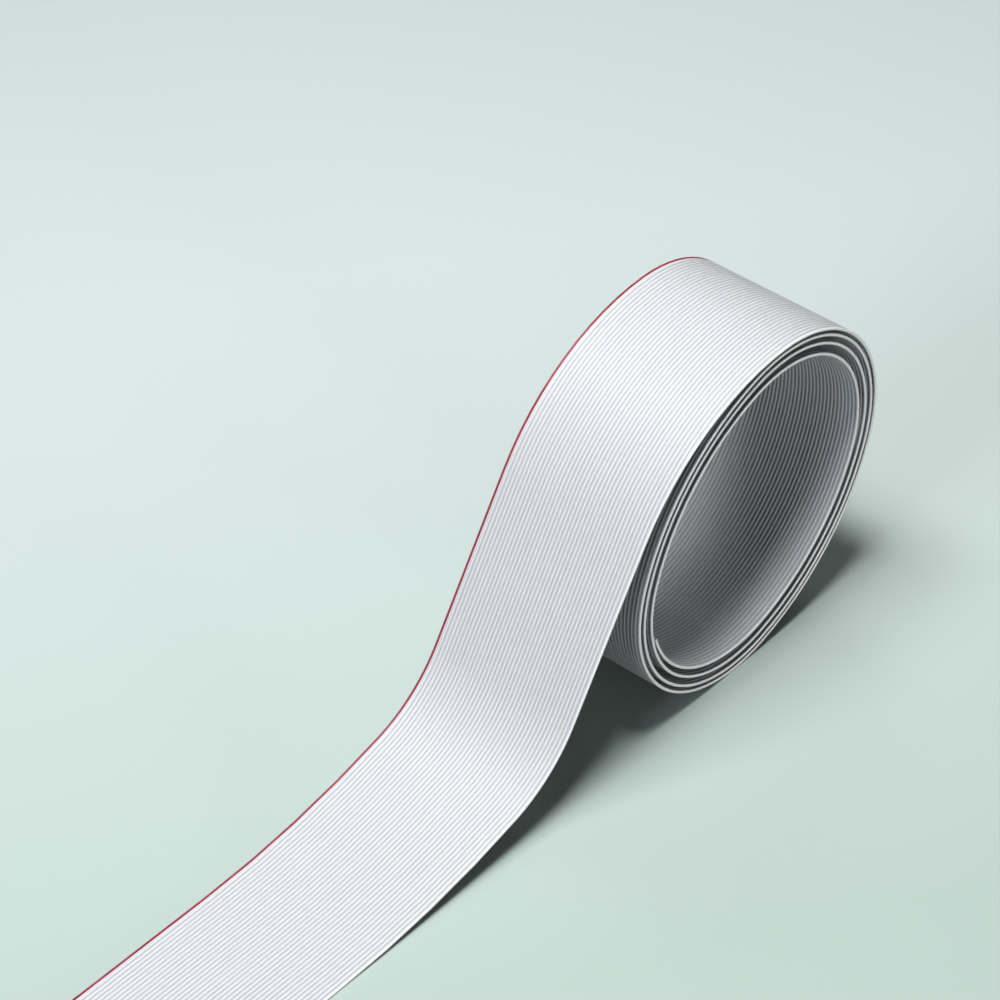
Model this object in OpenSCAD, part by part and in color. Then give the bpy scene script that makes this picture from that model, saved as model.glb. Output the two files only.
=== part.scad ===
// Flat ribbon cable, partly rolled into a loose coil that stands on its rim.
// The ribbon's width runs along Y. The coil's turns lie in the X-Z plane, and the free tail leaves
// the coil's top, comes down in an S and lies flat towards -X.
// The path is a chain of circular arcs with a straight slope and a straight end, all tangent. Ribs
// and webs are that path drawn as flat bands and extruded along Y, and the cores are round sections
// carried along it.

/* [Ribbon] */
// How many conductors lie side by side; the first one is the marked edge
conductors = 40; // [20:1:50]
// Distance between neighbouring conductors
pitch = 1.27; // [1.1:0.01:1.4]
// Height of the rib around each conductor, which is also the ribbon's thickness
rib_h = 0.9; // [0.8:0.02:1.0]
// Share of the pitch that a rib's width takes
rib_share = 0.63; // [0.56:0.01:0.72]
// Thickness of the web that joins two ribs
web_t = 0.36; // [0.3:0.02:0.5]
// Diameter of the stranded conductor inside a rib
core_d = 0.38; // [0.3:0.02:0.46]

/* [Coil] */
// Height of the standing coil
coil_height = 106.5; // [95:0.1:120]
// How much larger the radius of the coil's flat flanks is than that of its round ends
lean = 24; // [18:0.5:30]
// Distance from the outermost turn to the next, between their middles
first_gap = 1.5; // [1.4:0.1:2.4]
// Distance from the innermost turn to the one around it
last_gap = 3.9; // [2.6:0.1:4.2]
// Distance from the inner end to the turn around it
end_gap = 1.2; // [1.2:0.1:2.4]

/* [Tail] */
// Radius of the bend by which the tail leaves the coil's top
leave_r = 70; // [60:2.5:80]
// Radius of the bend at the foot of the slope
foot_r = 42.5; // [35:2.5:55]
// Radius at which the tail settles on the surface, to within a few steps of the slope's length
settle_r = 260; // [220:10:320]
// Length of the tail that lies flat, to its cut end
lying_length = 70; // [60:5:200]

/* [Hidden] */

width = conductors * pitch;
half_t = rib_h / 2;
rib_w = snap(pitch * rib_share);
bore_w = core_d + 0.02;
seam_y = width / 2 - pitch;
grey = [0.84, 0.84, 0.87];
red = [0.72, 0.07, 0.14];
tinned = [0.78, 0.77, 0.74];

// Directions from an arc's centre to where the next arc takes over. They come from whole-number
// triangles, 7-24-25 round the coil and 336-527-625 on the slope, so that all centres are exact.
joins = [[0.96, -0.28], [0.28, -0.96], [-0.96, 0.28], [-0.28, 0.96]];
up = [0, 1];
slope = [-0.8432, 0.5376];
foot = [0.28, -0.96];

// Radii of the arcs, from the top clockwise to the inner end. Even ones are the round ends, odd
// ones the flat flanks, and all shrink so that the gap grows evenly inwards.
rise = snap(coil_height - rib_h);
arcs = 15;
spread = snap(lean);
growth = (last_gap - first_gap) / (arcs - 4) / 8;
shrink = (first_gap - 12 * growth) / 4;
drops = [for (k = [0:arcs - 1]) k < 2 ? 0 : snap(shrink * k + growth * k * k)];
round_r = rise / 2 - 0.34 * spread + 0.02 * drops[2];
radii = [for (k = [0:arcs - 1])
    round_r + (k % 2) * spread - drops[k] + (k == arcs - 1 ? snap(last_gap - end_gap) : 0)];

// The tail, from the coil's top at X 0: leaving bend, straight slope, foot bend, settling bend.
// The slope takes a whole number of steps, and the settling bend's radius makes up the rest.
bend_r = 2.5 * round(leave_r / 2.5);
low_r = 1.25 * round(foot_r / 1.25);
slope_l = 1.25 * round((rise - 0.4624 * bend_r - 0.4224 * low_r - 0.04 * settle_r) / 1.054);
long_r = 25 * (rise - 0.4624 * bend_r - 0.8432 * slope_l - 0.4224 * low_r);
leave_c = [0, half_t + rise - bend_r];
slope_top = leave_c + bend_r * slope;
slope_end = slope_top + slope_l * [-0.5376, -0.8432];
low_c = slope_end + low_r * slope;
long_c = low_c + (low_r - long_r) * foot;
tail_end_x = long_c[0] - lying_length;
place_x = -round((radii[0] + half_t + tail_end_x) * 500) / 1000;

function snap(v) = round(v * 10) / 10;
function core_name(k) = str("conductor_", k < 10 ? "0" : "", k);
function rib_y(k) = width / 2 - (k - 0.5) * pitch;
function start_dir(k) = k == 0 ? up : joins[(k + 3) % 4];
function middle_dir(k) = [[1, 1], [1, -1], [-1, -1], [-1, 1]][k % 4];
function end_dir(k) = k == arcs - 1 ? [-0.96, -0.28] : joins[k % 4];

// The centres of the coil's arcs: neighbours lie on one line with the point where they meet
function centre(k) = k == 0 ? [0, half_t + rise - radii[0]] :
    centre(k - 1) + (radii[k - 1] - radii[k]) * end_dir(k - 1);

// Turns a shape drawn in X and Y, with its height along Z, so that it stands in the X-Z plane
module stand_up() {
    rotate([90, 0, 0]) children();
}

// The wedge that holds an arc of the radius r about the centre c, from one direction to another
module wedge(c, r, from, middle, to) {
    reach = 25 * ceil(r / 20);
    polygon([c, c + reach * from, c + reach * middle, c + reach * to]);
}

// A flat ring of the thickness t about the centre c
module ring(c, r, t) {
    translate(c) difference() {
        circle(r = r + t / 2);
        circle(r = r - t / 2);
    }
}

// One arc of the path as a band of the thickness t
module arc_band(c, r, t, from, middle, to) {
    intersection() {
        ring(c, r, t);
        wedge(c, r, from, middle, to);
    }
}

// The whole path, seen from the side, as a band of the thickness t
module band(t) {
    for (k = [0:arcs - 1])
        arc_band(centre(k), radii[k], t, start_dir(k), middle_dir(k), end_dir(k));
    arc_band(leave_c, bend_r, t, up, [-1, 1], slope);
    translate(slope_top) rotate(atan2(-0.8432, -0.5376)) translate([0, -t / 2]) square([slope_l, t]);
    arc_band(low_c, low_r, t, -slope, [1, -1], foot);
    arc_band(long_c, long_r, t, foot, [0.28, -1], -up);
    translate([tail_end_x, half_t - t / 2]) square([lying_length, t]);
}

// The band of the thickness t, extruded across the ribbon from y0 to y1
module slab(t, y0, y1) {
    translate([0, y1, 0]) stand_up() linear_extrude(height = y1 - y0) band(t);
}

// One rib of the jacket around the conductor k
module rib(k) {
    slab(rib_h, rib_y(k) - rib_w / 2, rib_y(k) + rib_w / 2);
}

// The channel that holds the conductor k
module bore(k) {
    slab(bore_w, rib_y(k) - bore_w / 2, rib_y(k) + bore_w / 2);
}

// One arc of the path as a round bar of the diameter d at y
module arc_bar(c, r, d, y, from, middle, to) {
    intersection() {
        translate([c[0], y, c[1]]) stand_up() rotate_extrude() translate([r, 0]) circle(d = d);
        stand_up() linear_extrude(height = 2 * width, center = true) wedge(c, r, from, middle, to);
    }
}

// A round bar of the diameter d and the length l at y, from the point p towards the angle a
module straight_bar(p, a, l, d, y) {
    translate([p[0], y, p[1]]) rotate([0, 90 - a, 0]) cylinder(d = d, h = l);
}

// A round core of the diameter d along the whole path at y
module round_path(d, y) {
    for (k = [0:arcs - 1])
        arc_bar(centre(k), radii[k], d, y, start_dir(k), middle_dir(k), end_dir(k));
    arc_bar(leave_c, bend_r, d, y, up, [-1, 1], slope);
    straight_bar(slope_top, atan2(-0.8432, -0.5376), slope_l, d, y);
    arc_bar(low_c, low_r, d, y, -slope, [1, -1], foot);
    arc_bar(long_c, long_r, d, y, foot, [0.28, -1], -up);
    straight_bar([tail_end_x, half_t], 0, lying_length, d, y);
}

// Grey jacket over all conductors but the first, one extruded length
module insulation() {
    color(grey) translate([place_x, 0, 0]) difference() {
        union() {
            slab(web_t, rib_y(conductors), seam_y);
            for (k = [2:conductors]) rib(k);
        }
        for (k = [2:conductors]) bore(k);
    }
}

// Red rib along the edge, which marks the first conductor, with its share of the web
module edge_stripe() {
    color(red) translate([place_x, 0, 0]) difference() {
        union() {
            slab(web_t, seam_y, rib_y(1));
            rib(1);
        }
        bore(1);
    }
}

// One stranded conductor, drawn as a plain round core
module conductor(k) {
    color(tinned) translate([place_x, 0, 0]) round_path(core_d, rib_y(k));
}

insulation();
edge_stripe();
for (k = [1:conductors])
    conductor(k);
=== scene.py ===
"""Looks for a flat ribbon cable, partly rolled into a loose coil: its jacket, red edge and strands."""

import math

import bpy
from mathutils import Matrix, Vector


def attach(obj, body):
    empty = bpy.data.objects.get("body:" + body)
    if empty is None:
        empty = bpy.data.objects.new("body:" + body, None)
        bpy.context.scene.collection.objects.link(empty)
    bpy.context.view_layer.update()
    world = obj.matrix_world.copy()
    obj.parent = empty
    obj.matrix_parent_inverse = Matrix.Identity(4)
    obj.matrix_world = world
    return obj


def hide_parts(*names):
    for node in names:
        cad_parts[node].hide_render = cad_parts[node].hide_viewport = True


bl_info = {
    "name": "Ribbon cable",
    "version": (1, 0, 0),
    "blender": (4, 5, 0),
    "location": "3D View > Sidebar > Ribbon cable",
    "description": "Builds a flat ribbon cable that is partly rolled into a coil",
    "category": "Add Mesh",
}

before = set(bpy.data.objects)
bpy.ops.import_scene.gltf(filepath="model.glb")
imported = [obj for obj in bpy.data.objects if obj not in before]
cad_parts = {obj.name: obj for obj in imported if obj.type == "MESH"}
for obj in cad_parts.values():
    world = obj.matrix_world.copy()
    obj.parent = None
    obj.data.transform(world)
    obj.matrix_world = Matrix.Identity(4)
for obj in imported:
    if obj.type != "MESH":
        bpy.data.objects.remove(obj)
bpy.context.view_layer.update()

MM = 0.001
RIB_POINTS = 6
ARCS = 15
LEAN = math.degrees(math.atan2(7, 24))
SLOPE = math.degrees(math.atan2(527, 336))
ALONG, ACROSS, CREST = "along", "across", "crest"
LIGHT_DISTANCE = 1.3


# Node trees


class Number:
    """A number in a node tree. Arithmetic on it adds Math nodes."""

    def __init__(self, tree, socket):
        self.tree = tree
        self.socket = socket

    def math(self, operation, *others):
        return self.tree.add("ShaderNodeMath", {"operation": operation}, [self, *others])

    def __add__(self, other):
        return self.math("ADD", other)

    def __radd__(self, other):
        return self.math("ADD", other)

    def __sub__(self, other):
        return self.math("SUBTRACT", other)

    def __rsub__(self, other):
        return self.tree.add("ShaderNodeMath", {"operation": "SUBTRACT"}, [other, self])

    def __mul__(self, other):
        return self.math("MULTIPLY", other)

    def __rmul__(self, other):
        return self.math("MULTIPLY", other)

    def __truediv__(self, other):
        return self.math("DIVIDE", other)

    def __rtruediv__(self, other):
        return self.tree.add("ShaderNodeMath", {"operation": "DIVIDE"}, [other, self])

    def __neg__(self):
        return self.math("MULTIPLY", -1.0)

    def __lt__(self, other):
        return self.math("LESS_THAN", other)

    def __gt__(self, other):
        return self.math("GREATER_THAN", other)

    def floor(self):
        return self.math("FLOOR")

    def fraction(self):
        return self.math("FRACT")

    def sine(self):
        return self.math("SINE")

    def cosine(self):
        return self.math("COSINE")

    def absolute(self):
        return self.math("ABSOLUTE")

    def at_least(self, other):
        return self.math("MAXIMUM", other)

    def at_most(self, other):
        return self.math("MINIMUM", other)

    def fade(self, start, end):
        """0 at start and 1 at end, smoothly."""
        settings = {"interpolation_type": "SMOOTHSTEP"}
        return self.tree.add("ShaderNodeMapRange", settings, [self, start, end])


class Tree:
    """Adds nodes to a node tree and links their sockets."""

    def __init__(self, tree):
        self.tree = tree

    def add(self, kind, settings=None, values=(), output=0):
        """One node: its settings are set first, then the values or links of its sockets."""
        node = self.tree.nodes.new(kind)
        for name, value in (settings or {}).items():
            setattr(node, name, value)
        pairs = values.items() if isinstance(values, dict) else enumerate(values)
        for key, value in pairs:
            if isinstance(value, Number):
                self.tree.links.new(value.socket, node.inputs[key])
            elif value is not None:
                node.inputs[key].default_value = value
        return Number(self, node.outputs[output])

    def other(self, number, output):
        """Another output of the node that gave this number."""
        return Number(self, number.socket.node.outputs[output])

    def link(self, number, socket):
        self.tree.links.new(number.socket, socket)

    def ramp(self, factor, stops):
        """A colour ramp with the stops (position, colour)."""
        colour = self.add("ShaderNodeValToRGB", None, [factor])
        ramp = colour.socket.node.color_ramp
        while len(ramp.elements) < len(stops):
            ramp.elements.new(0.5)
        for element, (position, shade) in zip(ramp.elements, stops):
            element.position = position
            element.color = (*shade, 1.0)
        return colour

    def mix(self, factor, first, second):
        """A mix of two colours."""
        settings = {"data_type": "RGBA"}
        shades = [value if isinstance(value, Number) else (*value, 1.0) for value in (first, second)]
        return self.add("ShaderNodeMix", settings, {0: factor, 6: shades[0], 7: shades[1]}, 2)


def new_material(name):
    """An empty material and its tree."""
    material = bpy.data.materials.new(name)
    material.use_nodes = True
    material.node_tree.nodes.clear()
    return material, Tree(material.node_tree)


def finish_material(tree, values, normal=None):
    """Ends a material in a Principled shader with the values given by socket name."""
    surface = dict(values)
    if normal is not None:
        surface["Normal"] = normal
    shader = tree.add("ShaderNodeBsdfPrincipled", None, surface)
    out = tree.tree.nodes.new("ShaderNodeOutputMaterial")
    tree.link(shader, out.inputs["Surface"])
    return shader


def set_material(node_object, material):
    """Gives a carried-over solid its finish."""
    for slot in node_object.material_slots:
        slot.material = material


# The ribbon's path, seen from the side


def snapped(value):
    """A length in millimetres, to a tenth."""
    return math.floor(value * 10 + 0.5) / 10


class RibbonSizes(bpy.types.PropertyGroup):
    """Sizes of the ribbon and of the path on which it lies, in millimetres."""

    conductors: bpy.props.IntProperty(
        name="Conductors", description="How many ribs lie side by side", default=40, min=2
    )
    pitch: bpy.props.FloatProperty(
        name="Pitch", description="Distance between two conductors", default=1.27, min=0.5
    )
    rib_d: bpy.props.FloatProperty(
        name="Rib diameter", description="Diameter of the round rib", default=0.9, min=0.3
    )
    web_t: bpy.props.FloatProperty(
        name="Web thickness", description="Thickness of the web between ribs", default=0.36, min=0.1
    )
    edge_half: bpy.props.FloatProperty(
        name="Edge rib", description="From the edge rib's middle to its trimmed side", default=0.4, min=0.2
    )
    coil_height: bpy.props.FloatProperty(
        name="Coil height", description="Height of the standing coil", default=106.5, min=20
    )
    lean: bpy.props.FloatProperty(
        name="Lean", description="How much larger the flanks' radius is than the ends'", default=24
    )
    first_gap: bpy.props.FloatProperty(
        name="First gap", description="From the outermost turn to the next", default=1.5
    )
    last_gap: bpy.props.FloatProperty(
        name="Last gap", description="From the innermost turn to the one around it", default=3.9
    )
    end_gap: bpy.props.FloatProperty(
        name="End gap", description="From the inner end to the turn around it", default=1.2
    )
    leave_r: bpy.props.FloatProperty(
        name="Leaving bend", description="Radius by which the tail leaves the coil", default=70, min=10
    )
    foot_r: bpy.props.FloatProperty(
        name="Foot bend", description="Radius at the foot of the slope", default=42.5, min=10
    )
    settle_r: bpy.props.FloatProperty(
        name="Settling bend", description="Radius at which the tail settles", default=260, min=50
    )
    lying_length: bpy.props.FloatProperty(
        name="Lying length", description="Length of tail that lies flat", default=70, min=0
    )
    arc_step: bpy.props.FloatProperty(
        name="Step", description="Turn between two sections of a bend", default=5, min=1, max=15
    )


class RibbonColours(bpy.types.PropertyGroup):
    """Colours of the ribbon."""

    grey: bpy.props.FloatVectorProperty(
        name="Jacket", description="Grey of the jacket", subtype="COLOR", default=(0.735, 0.74, 0.76)
    )
    # Painted shade: a darker grey for the webs and the ribs' sides, standing in for the shade that falls
    # in the grooves.
    groove_shade: bpy.props.FloatVectorProperty(
        name="Grooves", description="Grey between the ribs", subtype="COLOR", default=(0.49, 0.505, 0.54)
    )
    red: bpy.props.FloatVectorProperty(
        name="Edge", description="Red of the marked edge", subtype="COLOR", default=(0.30, 0.012, 0.04)
    )
    tin: bpy.props.FloatVectorProperty(
        name="Strands", description="Tinned copper", subtype="COLOR", default=(0.72, 0.70, 0.66)
    )


class StageSettings(bpy.types.PropertyGroup):
    """The floor, the camera and the lights."""

    floor: bpy.props.FloatVectorProperty(
        name="Floor", description="Colour of the floor", subtype="COLOR", default=(0.602, 0.683, 0.674)
    )
    # Painted shade: the darker floor colour that the gradient reaches towards the near right.
    near_floor_shade: bpy.props.FloatVectorProperty(
        name="Near floor",
        description="Colour of the floor near the camera",
        subtype="COLOR",
        default=(0.44, 0.542, 0.497),
    )
    lens: bpy.props.FloatProperty(
        name="Lens", description="Focal length of the camera", default=148.976, subtype="DISTANCE_CAMERA"
    )
    azimuth: bpy.props.FloatProperty(
        name="Azimuth", description="Direction of the camera around the object", default=-49.036
    )
    elevation: bpy.props.FloatProperty(
        name="Elevation", description="Height of the camera as an angle", default=39.777
    )
    key: bpy.props.FloatProperty(
        name="Key light", description="Power of the key light", default=12.0, subtype="POWER"
    )
    side: bpy.props.FloatProperty(
        name="Side light", description="Power of the light over the far side", default=7.5, subtype="POWER"
    )
    low: bpy.props.FloatProperty(
        name="Low light", description="Power of the low light on the slope", default=4.5, subtype="POWER"
    )
    front: bpy.props.FloatProperty(
        name="Front light", description="Power of the light on the near edge", default=6.0, subtype="POWER"
    )
    back: bpy.props.FloatProperty(
        name="Back light", description="Power of the light behind the coil", default=1.2, subtype="POWER"
    )
    bounce: bpy.props.FloatProperty(
        name="Floor bounce", description="Share of its light that the floor gives back", default=0.3
    )
    world: bpy.props.FloatProperty(
        name="Surroundings", description="Strength of the even light", default=0.03
    )


def turned_by(angle):
    """The direction at an angle in degrees, as (x, z)."""
    return math.cos(math.radians(angle)), math.sin(math.radians(angle))


def coil_radii(sizes, rise):
    """Radii of the coil's arcs, from the top clockwise to the inner end."""
    growth = (sizes.last_gap - sizes.first_gap) / (ARCS - 4) / 8
    shrink = (sizes.first_gap - 12 * growth) / 4
    drops = [0.0, 0.0] + [snapped(shrink * k + growth * k * k) for k in range(2, ARCS)]
    round_r = rise / 2 - 0.34 * sizes.lean + 0.02 * drops[2]
    radii = [round_r + k % 2 * sizes.lean - drop for k, drop in enumerate(drops)]
    radii[-1] += snapped(sizes.last_gap - sizes.end_gap)
    return radii


def tail_lengths(sizes, rise):
    """The radii of the tail's three bends and its slope's length, snapped as in the solids."""
    leave_r = 2.5 * round(sizes.leave_r / 2.5)
    foot_r = 1.25 * round(sizes.foot_r / 1.25)
    rest = rise - 0.4624 * leave_r - 0.4224 * foot_r
    slope = 1.25 * round((rest - 0.04 * sizes.settle_r) / 1.054)
    return leave_r, slope, foot_r, 25 * (rest - 0.8432 * slope)


def ribbon_path(sizes):
    """Points of the ribbon's middle from the tail's cut end to the inner end, in metres, as (x, z)."""
    half_t = sizes.rib_d / 2
    rise = snapped(sizes.coil_height - sizes.rib_d)
    radii = coil_radii(sizes, rise)
    leave_r, slope, foot_r, settle_r = tail_lengths(sizes, rise)
    points = []

    def arc(centre, radius, start, end):
        steps = max(2, math.ceil(abs(end - start) / sizes.arc_step))
        for step in range(1, steps + 1):
            x, z = turned_by(start + (end - start) * step / steps)
            points.append((centre[0] + radius * x, centre[1] + radius * z))

    def moved(point, length, angle):
        x, z = turned_by(angle)
        return point[0] + length * x, point[1] + length * z

    leave_c = (0.0, half_t + rise - leave_r)
    slope_top = moved(leave_c, leave_r, 90 + SLOPE)
    foot_c = moved(moved(slope_top, -slope, SLOPE), foot_r, 90 + SLOPE)
    settle_c = moved(foot_c, settle_r - foot_r, 90 + LEAN)
    tail_end = settle_c[0] - sizes.lying_length
    lying_steps = 8
    for step in range(lying_steps + 1):
        points.append((tail_end + sizes.lying_length * step / lying_steps, half_t))
    arc(settle_c, settle_r, -90, -90 + LEAN)
    arc(foot_c, foot_r, -90 + LEAN, -90 + SLOPE)
    for step in range(1, 6):
        points.append(moved(slope_top, -slope * (1 - step / 5), SLOPE))
    arc(leave_c, leave_r, 90 + SLOPE, 90)
    centre, start = (0.0, half_t + rise - radii[0]), 90
    for k, radius in enumerate(radii):
        if k:
            centre = moved(centre, radii[k - 1] - radius, start)
        end = -90 * k + (LEAN if k % 2 or k == ARCS - 1 else -LEAN)
        arc(centre, radius, start, end)
        start = end
    shift = -(radii[0] + half_t + tail_end) / 2
    return [((x + shift) * MM, z * MM) for x, z in points]


# Geometry Nodes


def new_geometry_tree(name, inputs):
    """A Geometry Nodes tree with a geometry input, the named inputs and a geometry output."""
    tree = bpy.data.node_groups.new(name, "GeometryNodeTree")
    tree.interface.new_socket("Geometry", in_out="INPUT", socket_type="NodeSocketGeometry")
    for label, kind in inputs:
        tree.interface.new_socket(label, in_out="INPUT", socket_type=kind)
    tree.interface.new_socket("Geometry", in_out="OUTPUT", socket_type="NodeSocketGeometry")
    wrapped = Tree(tree)
    start = tree.nodes.new("NodeGroupInput")
    given = {socket.name: Number(wrapped, socket) for socket in start.outputs if socket.name}
    return wrapped, given


def end_geometry_tree(tree, geometry, material):
    """Ends a tree in Realize Instances and Set Material."""
    real = tree.add("GeometryNodeRealizeInstances", None, [geometry])
    painted = tree.add("GeometryNodeSetMaterial", None, {"Geometry": real, "Material": material})
    out = tree.tree.nodes.new("NodeGroupOutput")
    tree.link(painted, out.inputs[0])


def sweep_tree():
    """Carries the section of a run of ribs, with the webs between them, along the path."""
    tree, given = new_geometry_tree(
        "ribbon_sweep",
        [
            ("First Rib", "NodeSocketInt"),
            ("Last Rib", "NodeSocketInt"),
            ("Pitch", "NodeSocketFloat"),
            ("Rib Radius", "NodeSocketFloat"),
            ("Web Half", "NodeSocketFloat"),
            ("Half Width", "NodeSocketFloat"),
            ("Web Angle", "NodeSocketFloat"),
            ("Edge Limit", "NodeSocketFloat"),
            ("First Is Edge", "NodeSocketFloat"),
            ("Last Is Edge", "NodeSocketFloat"),
            ("Material", "NodeSocketMaterial"),
        ],
    )
    first, last, pitch = given["First Rib"], given["Last Rib"], given["Pitch"]
    radius, web, angle = given["Rib Radius"], given["Web Half"], given["Web Angle"]
    edge_angle = 0.16
    ribs = last - first + 1
    side_count = ribs * RIB_POINTS + 2
    count = side_count * 2
    loop = tree.add("GeometryNodeCurvePrimitiveCircle", None, {"Resolution": count, "Radius": 1.0})
    index = tree.add("GeometryNodeInputIndex")
    under = index > side_count - 0.5
    place = index + under * (count - 1 - index * 2)
    rib = ((place - 1) / RIB_POINTS).floor().at_least(0.0).at_most(ribs - 1)
    step = place - 1 - rib * RIB_POINTS
    turn = angle + (1 - step / (RIB_POINTS - 1)) * (math.pi - angle * 2)
    centre = (first + rib - 0.5) * pitch - given["Half Width"]
    across = centre + radius * turn.cosine()
    height = radius * turn.sine()
    is_first = place < 0.5
    is_last = place > side_count - 1.5
    for here, edge, sign in ((is_first, given["First Is Edge"], -1), (is_last, given["Last Is Edge"], 1)):
        end_x = centre + sign * (edge * radius * math.cos(edge_angle) + (1 - edge) * pitch / 2)
        end_z = edge * radius * math.sin(edge_angle) + (1 - edge) * web
        across = across + here * (end_x - across)
        height = height + here * (end_z - height)
    limit = given["Edge Limit"]
    across = across.at_most(limit).at_least(-limit)
    signed = height * (1 - under * 2)
    position = tree.add("ShaderNodeCombineXYZ", None, [across, signed, 0.0])
    section = tree.add("GeometryNodeSetPosition", None, {"Geometry": loop, "Position": position})
    section = store(tree, section, ACROSS, across)
    section = store(tree, section, CREST, -signed / radius)
    length = tree.add("GeometryNodeSplineParameter", None, (), 1)
    path = store(tree, given["Geometry"], ALONG, length)
    settings = {"Curve": path, "Profile Curve": section, "Fill Caps": True}
    ribbon = tree.add("GeometryNodeCurveToMesh", None, settings)
    ribbon = tree.add("GeometryNodeFlipFaces", None, [ribbon])
    smooth = tree.add("GeometryNodeSetShadeSmooth", None, {"Geometry": ribbon, "Shade Smooth": True})
    bend = tree.add("GeometryNodeInputMeshEdgeAngle", None, (), 0)
    sharp = {"Geometry": smooth, "Selection": bend > 0.9, "Shade Smooth": False}
    creased = tree.add("GeometryNodeSetShadeSmooth", {"domain": "EDGE"}, sharp)
    end_geometry_tree(tree, creased, given["Material"])
    return tree.tree


def store(tree, geometry, name, value):
    """Keeps a number of each point under a name that a material can read."""
    values = {"Geometry": geometry, "Name": name, "Value": value}
    return tree.add("GeometryNodeStoreNamedAttribute", {"data_type": "FLOAT", "domain": "POINT"}, values)


def baked_piece(name, source, tree, values, material):
    """Runs a Geometry Nodes tree on an object and returns its result as a plain mesh piece."""
    modifier = source.modifiers.new("shape", "NODES")
    modifier.node_group = tree
    for item in tree.interface.items_tree:
        if item.in_out == "INPUT" and item.name in values:
            modifier[item.identifier] = values[item.name]
    source.update_tag()
    seen = source.evaluated_get(bpy.context.evaluated_depsgraph_get())
    mesh = bpy.data.meshes.new_from_object(seen)
    mesh.name = name
    piece = bpy.data.objects.new(name, mesh)
    bpy.context.scene.collection.objects.link(piece)
    if not mesh.polygons:
        raise RuntimeError(name + " came out empty")
    if not mesh.materials:
        mesh.materials.append(material)
    bpy.data.objects.remove(source)
    return piece


def path_object(points, name):
    """A curve through the path's points, in the plane Y = 0."""
    curve = bpy.data.curves.new(name, "CURVE")
    curve.dimensions = "3D"
    spline = curve.splines.new("POLY")
    spline.points.add(len(points) - 1)
    for point, (x, z) in zip(spline.points, points):
        point.co = (x, 0.0, z, 1.0)
    shape = bpy.data.objects.new(name, curve)
    bpy.context.scene.collection.objects.link(shape)
    return shape


# Materials


def jacket_material(colours, rim_highlight_from):
    """Satin grey PVC: painted shade darkens it between the ribs, and a painted highlight makes it paler on
    the trimmed side of the near edge rib, beyond the given start.
    """
    material, tree = new_material("grey_pvc")
    along = tree.add("ShaderNodeAttribute", {"attribute_name": ALONG}, (), 2)
    across = tree.add("ShaderNodeAttribute", {"attribute_name": ACROSS}, (), 2)
    crest = tree.add("ShaderNodeAttribute", {"attribute_name": CREST}, (), 2)
    flat = tree.add("ShaderNodeCombineXYZ", None, [along * 9, across * 260, 0.0])
    streaks = tree.add("ShaderNodeTexNoise", None, {"Vector": flat, "Scale": 3.0, "Detail": 3.0})
    # Painted shade: away from the rib crests the colour goes to the groove shade grey.
    painted_groove_shade_fade = crest.absolute().fade(0.42, 0.98)
    colour = tree.mix(painted_groove_shade_fade, tuple(colours.groove_shade), tuple(colours.grey))
    # Painted highlight: beyond the given start, the trimmed outer side of the near edge rib is made pale
    # so that the rim reads brightly lit.
    colour = tree.mix((across - rim_highlight_from).fade(0.05 * MM, 0.25 * MM), colour, (0.93, 0.94, 0.94))
    worn = tree.mix((streaks - 0.5) * 0.35, colour, (0.86, 0.86, 0.90))
    coords = tree.add("ShaderNodeTexCoord", None, (), 3)
    grain = tree.add("ShaderNodeTexNoise", None, {"Vector": coords, "Scale": 2600.0, "Detail": 2.0})
    bump = tree.add("ShaderNodeBump", None, {"Strength": 0.12, "Distance": 0.00004, "Height": grain})
    values = {"Base Color": worn, "Roughness": streaks * 0.16 + 0.34, "IOR": 1.52}
    finish_material(tree, values, bump)
    return material


def edge_material(colours, middle):
    """Red PVC on the marked edge's rib, whose middle is given, and grey on the web beside it."""
    material, tree = new_material("red_pvc")
    along = tree.add("ShaderNodeAttribute", {"attribute_name": ALONG}, (), 2)
    across = tree.add("ShaderNodeAttribute", {"attribute_name": ACROSS}, (), 2)
    crest = tree.add("ShaderNodeAttribute", {"attribute_name": CREST}, (), 2)
    flat = tree.add("ShaderNodeCombineXYZ", None, [along * 60, crest * 2, 0.0])
    blotch = tree.add("ShaderNodeTexNoise", None, {"Vector": flat, "Scale": 2.0, "Detail": 3.0})
    deep = tuple(channel * 0.75 for channel in colours.red)
    light = (colours.red[0] * 1.25, colours.red[1] + 0.03, colours.red[2] + 0.03)
    red = tree.ramp(blotch, [(0.3, deep), (0.7, light)])
    beside = (across - middle).fade(0.33 * MM, 0.43 * MM)
    colour = tree.mix(beside, red, tuple(colours.grey))
    finish_material(tree, {"Base Color": colour, "Roughness": blotch * 0.2 + 0.3, "IOR": 1.52})
    return material


def tin_material(colours):
    """Tinned copper, bright where it is cut."""
    material, tree = new_material("tinned_copper")
    coords = tree.add("ShaderNodeTexCoord", None, (), 3)
    mottle = tree.add("ShaderNodeTexNoise", None, {"Vector": coords, "Scale": 3000.0, "Detail": 2.0})
    dull = tuple(channel * 0.7 for channel in colours.tin)
    colour = tree.ramp(mottle, [(0.3, dull), (0.7, tuple(colours.tin))])
    finish_material(tree, {"Base Color": colour, "Metallic": 1.0, "Roughness": mottle * 0.25 + 0.2})
    return material


# Operators


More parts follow.
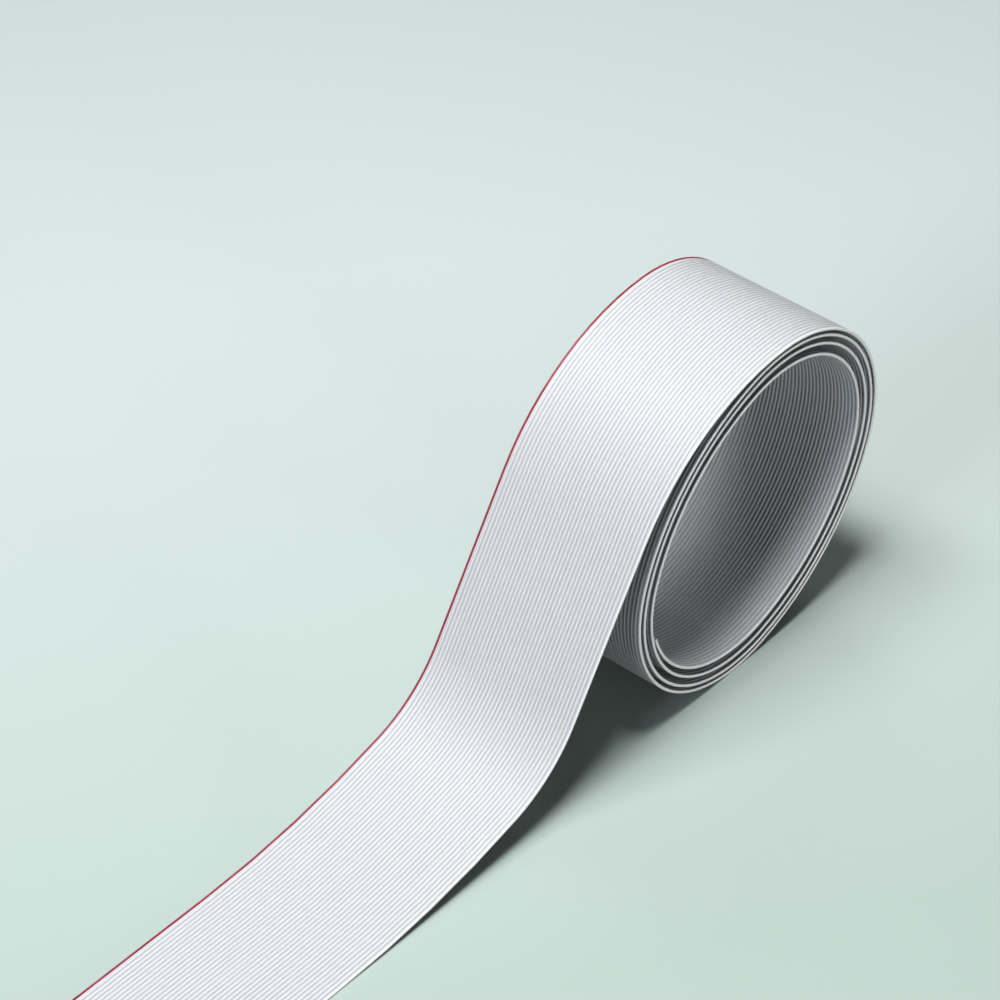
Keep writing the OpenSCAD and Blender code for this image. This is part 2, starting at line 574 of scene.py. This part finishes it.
class RIBBON_OT_jacket(bpy.types.Operator):
    """Builds the grey jacket in two halves and the red edge rib, round and with their webs"""

    bl_idname = "ribbon.jacket"
    bl_label = "Jacket and red edge"

    def execute(self, context):
        sizes = context.scene.ribbon_sizes
        colours = context.scene.ribbon_colours
        points = ribbon_path(sizes)
        tree = sweep_tree()
        edge = (sizes.conductors - 1) * sizes.pitch / 2 * MM
        grey = jacket_material(colours, edge)
        red = edge_material(colours, -edge)
        middle = sizes.conductors // 2
        runs = (
            ("red_edge", 1, 1, red, "edge_stripe", "red_pvc"),
            ("jacket_far_half", 2, middle, grey, "insulation", "grey_pvc"),
            ("jacket_near_half", middle + 1, sizes.conductors, grey, "insulation", "grey_pvc"),
        )
        for name, first, last, material, node, slot in runs:
            values = {
                "First Rib": first,
                "Last Rib": last,
                "Pitch": sizes.pitch * MM,
                "Rib Radius": sizes.rib_d / 2 * MM,
                "Web Half": sizes.web_t / 2 * MM,
                "Half Width": sizes.conductors * sizes.pitch / 2 * MM,
                "Web Angle": math.asin(sizes.web_t / sizes.rib_d),
                "Edge Limit": ((sizes.conductors - 1) * sizes.pitch / 2 + sizes.edge_half) * MM,
                "First Is Edge": 1.0 if first == 1 else 0.0,
                "Last Is Edge": 1.0 if last == sizes.conductors else 0.0,
                "Material": material,
            }
            piece = baked_piece(name, path_object(points, name + "_path"), tree, values, material)
            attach(piece, "root")
            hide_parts(node)
        return {"FINISHED"}


class RIBBON_OT_conductors(bpy.types.Operator):
    """Gives the conductors their tinned copper"""

    bl_idname = "ribbon.conductors"
    bl_label = "Conductors"

    def execute(self, context):
        tin = tin_material(context.scene.ribbon_colours)
        for name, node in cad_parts.items():
            if name.startswith("conductor_"):
                set_material(node, tin)
        return {"FINISHED"}


class RIBBON_OT_stage(bpy.types.Operator):
    """Adds the floor, the camera and the lights"""

    bl_idname = "ribbon.stage"
    bl_label = "Stage"

    def execute(self, context):
        stage = context.scene.ribbon_stage
        add_floor(stage)
        add_camera(stage)
        add_lights(stage)
        return {"FINISHED"}


def add_floor(stage):
    """A wide pale floor with painted shade that darkens it towards the near right, which gives back less
    light than it shows.
    """
    size = 6.0
    corners = [(-size, -size, 0), (size, -size, 0), (size, size, 0), (-size, size, 0)]
    mesh = bpy.data.meshes.new("floor")
    mesh.from_pydata(corners, [], [(0, 1, 2, 3)])
    material, tree = new_material("floor")
    seen = tree.add("ShaderNodeLightPath")
    coords = tree.add("ShaderNodeSeparateXYZ", None, [tree.add("ShaderNodeTexCoord", None, (), 3)])
    # Painted shade: the floor darkens from its far colour towards the near right.
    floor_shade_ramp = 0.77 - coords * 1.79 - tree.other(coords, 1) * 2.65
    shade = tree.mix(floor_shade_ramp.at_least(0.0).at_most(1.0), tuple(stage.floor), tuple(stage.near_floor_shade))
    dim = tuple(channel * stage.bounce for channel in stage.floor)
    colour = tree.mix(seen, dim, shade)
    finish_material(tree, {"Base Color": colour, "Roughness": 0.85})
    mesh.materials.append(material)
    floor = bpy.data.objects.new("floor", mesh)
    bpy.context.scene.collection.objects.link(floor)


def add_camera(stage):
    """The camera at the photograph's viewing angle."""
    around, up = math.radians(stage.azimuth), math.radians(stage.elevation)
    back = Vector((math.sin(around) * math.cos(up), -math.cos(around) * math.cos(up), math.sin(up)))
    right = Vector((math.cos(around), math.sin(around), 0.0))
    camera = bpy.data.cameras.new("camera")
    camera.lens = stage.lens
    camera.sensor_width = 36.0
    camera.clip_end = 50.0
    holder = bpy.data.objects.new("camera", camera)
    turned = Matrix((right, back.cross(right), back)).transposed().to_4x4()
    holder.matrix_world = Matrix.Translation((-0.619492, -0.549759, 0.793402)) @ turned
    bpy.context.scene.collection.objects.link(holder)
    bpy.context.scene.camera = holder


def add_area_light(name, place, target, size, power, colour):
    """A soft square light that faces the target."""
    light = bpy.data.lights.new(name, "AREA")
    light.size = size
    light.energy = power
    light.color = colour
    holder = bpy.data.objects.new(name, light)
    aim = (Vector(target) - Vector(place)).to_track_quat("-Z", "Y")
    holder.matrix_world = Matrix.Translation(place) @ aim.to_matrix().to_4x4()
    bpy.context.scene.collection.objects.link(holder)


def add_lights(stage):
    """Soft lights: two high ones, low ones on the slope and the near edge, and one behind the coil."""
    target = (0.06, 0.0, 0.04)
    lights = (
        ("key", 84.0, 205.0, 0.3, stage.key, (1.0, 0.985, 0.97)),
        ("side", 72.0, 144.0, 0.4, stage.side, (0.97, 0.985, 1.0)),
        ("low", 30.0, 183.0, 0.35, stage.low, (0.86, 0.93, 1.0)),
        ("front", 3.0, 266.0, 0.2, stage.front, (1.0, 1.0, 0.98)),
        ("back", 50.0, 45.0, 0.35, stage.back, (1.0, 0.98, 0.96)),
    )
    for name, elevation, azimuth, size, power, colour in lights:
        up, around = math.radians(elevation), math.radians(azimuth)
        away = (math.cos(up) * math.cos(around), math.cos(up) * math.sin(around), math.sin(up))
        place = [start + LIGHT_DISTANCE * part for start, part in zip(target, away)]
        add_area_light(name, place, target, size, power, colour)
    world = bpy.data.worlds.new("surroundings")
    world.use_nodes = True
    background = world.node_tree.nodes["Background"]
    background.inputs["Color"].default_value = (0.86, 0.92, 0.94, 1.0)
    background.inputs["Strength"].default_value = stage.world
    bpy.context.scene.world = world


class RIBBON_PT_panel(bpy.types.Panel):
    """Lists the sizes, the colours and the pieces"""

    bl_idname = "RIBBON_PT_panel"
    bl_label = "Ribbon cable"
    bl_space_type = "VIEW_3D"
    bl_region_type = "UI"
    bl_category = "Ribbon cable"

    def draw(self, context):
        layout = self.layout
        for group in ("ribbon_sizes", "ribbon_colours", "ribbon_stage"):
            settings = getattr(context.scene, group)
            box = layout.box()
            for key in settings.__annotations__:
                box.prop(settings, key)
        for operator in OPERATORS:
            layout.operator(operator.bl_idname)


GROUPS = {"ribbon_sizes": RibbonSizes, "ribbon_colours": RibbonColours, "ribbon_stage": StageSettings}
OPERATORS = (RIBBON_OT_jacket, RIBBON_OT_conductors, RIBBON_OT_stage)


def register():
    """Registers the classes and hangs the settings on the scene."""
    for name, group in GROUPS.items():
        bpy.utils.register_class(group)
        setattr(bpy.types.Scene, name, bpy.props.PointerProperty(type=group))
    for entry in (*OPERATORS, RIBBON_PT_panel):
        bpy.utils.register_class(entry)


def unregister():
    """Takes everything off again."""
    for entry in (RIBBON_PT_panel, *reversed(OPERATORS)):
        bpy.utils.unregister_class(entry)
    for name, group in GROUPS.items():
        delattr(bpy.types.Scene, name)
        bpy.utils.unregister_class(group)


def main():
    """Builds the looks in order."""
    register()
    bpy.context.scene.view_settings.view_transform = "Standard"
    bpy.ops.ribbon.jacket()
    bpy.ops.ribbon.conductors()
    bpy.ops.ribbon.stage()


if __name__ == "__main__":
    main()
